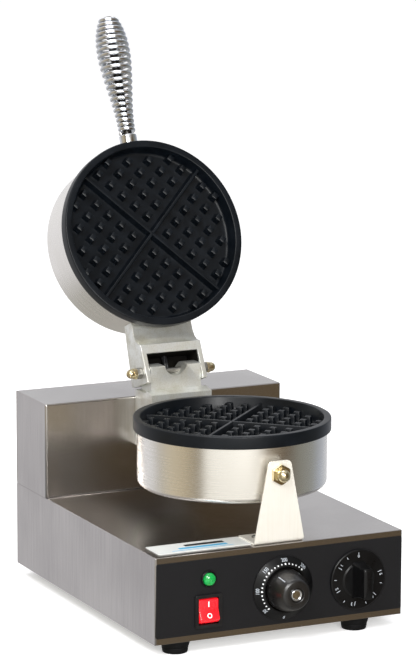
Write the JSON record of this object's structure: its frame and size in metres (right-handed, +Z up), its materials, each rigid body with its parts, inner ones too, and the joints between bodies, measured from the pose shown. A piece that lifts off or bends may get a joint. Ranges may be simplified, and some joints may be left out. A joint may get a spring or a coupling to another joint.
{
  "type": "waffle baker",
  "caption": "Single-head electric waffle baker: sheet-metal base with control panel, round lower plate, hinged lid with grid plate and coiled-spring handle.",
  "frame": {"origin": "the surface under the feet, in the middle of the part's outline with the lid fully open", "axes": "+X to the right seen from the control panel, -Y towards the user, +Z up"},
  "size_m": [0.254, 0.4272, 0.544],
  "materials": {
    "brushed_stainless": "brushed",
    "plain_steel": "satin",
    "foot_rubber": "matte",
    "fascia_enamel": "satin",
    "name_plate_enamel": "gloss",
    "black_plastic": "satin",
    "red_plastic": "gloss",
    "green_lens": "gloss",
    "bright_chrome": "polished",
    "ceramic_white": "matte",
    "non_stick_coating": "satin",
    "cast_aluminium": "bead blasted",
    "yellow_zinc": "bright zinc plate",
    "cable_sleeve": "matte"
  },
  "bodies": {
    "root": {"base_housing": "brushed_stainless", "bottom_plate": "plain_steel", "bracket_cap_nut": "bright_chrome", "bracket_hex_nut": "bright_chrome", "bracket_screw_left": "plain_steel", "bracket_screw_right": "plain_steel", "bracket_spacer": "plain_steel", "bracket_stud": "plain_steel", "cable_gland": "black_plastic", "capillary_tube": "plain_steel", "control_fascia": "fascia_enamel", "cover_screw_lower_left": "plain_steel", "cover_screw_lower_right": "plain_steel", "cover_screw_upper_left": "plain_steel", "cover_screw_upper_right": "plain_steel", "foot_front_left": "foot_rubber", "foot_front_right": "foot_rubber", "foot_rear_left": "foot_rubber", "foot_rear_right": "foot_rubber", "foot_screw_front_left": "plain_steel", "foot_screw_front_right": "plain_steel", "foot_screw_rear_left": "plain_steel", "foot_screw_rear_right": "plain_steel", "front_bracket": "brushed_stainless", "gland_nut": "black_plastic", "hinge_cap_nut_left": "yellow_zinc", "hinge_cap_nut_right": "yellow_zinc", "hinge_hex_nut_left": "yellow_zinc", "hinge_hex_nut_right": "yellow_zinc", "hinge_pin": "plain_steel", "lamp_body": "black_plastic", "lamp_lens": "green_lens", "lid_cable": "cable_sleeve", "lower_grid_plate": "non_stick_coating", "lower_heater": "plain_steel", "lower_hinge_casting": "cast_aluminium", "lower_insulation": "ceramic_white", "lower_shell": "brushed_stainless", "name_plate": "name_plate_enamel", "rear_cover": "brushed_stainless", "rear_housing": "brushed_stainless", "sensor_bulb": "plain_steel", "switch_frame": "black_plastic", "terminal_block": "ceramic_white", "thermostat_body": "plain_steel", "thermostat_dial": "black_plastic", "timer_body": "plain_steel"},
    "lid": {"upper_shell": "brushed_stainless", "upper_grid_plate": "non_stick_coating", "upper_heater": "plain_steel", "upper_insulation": "ceramic_white", "upper_hinge_casting": "cast_aluminium", "handle_core": "bright_chrome", "handle_spring_grip": "bright_chrome"},
    "power_rocker": {"switch_rocker": "red_plastic"},
    "thermostat_dial_knob": {"thermostat_knob": "black_plastic", "thermostat_knob_cap": "bright_chrome", "thermostat_shaft": "plain_steel"},
    "timer_dial_knob": {"timer_knob": "black_plastic", "timer_shaft": "plain_steel"}
  },
  "joints": [
    {"name": "lid_hinge", "type": "hinge", "parent": "root", "child": "lid", "pos_m": [0, 0.05488, 0.2116], "axis": [1, 0, 0], "range_deg": [0, 113.4], "deforming": ["lid_cable"]},
    {"name": "power_switch", "type": "hinge", "parent": "root", "child": "power_rocker", "pos_m": [-0.0745, -0.18032, 0.0392], "axis": [1, 0, 0], "range_deg": [0, 24]},
    {"name": "thermostat_turn", "type": "hinge", "parent": "root", "child": "thermostat_dial_knob", "pos_m": [0.0015, -0.20332, 0.052], "axis": [0, 1, 0], "range_deg": [-135, 135]},
    {"name": "timer_turn", "type": "hinge", "parent": "root", "child": "timer_dial_knob", "pos_m": [0.079, -0.19332, 0.0516], "axis": [0, 1, 0], "range_deg": [0, 285]}
  ]
}
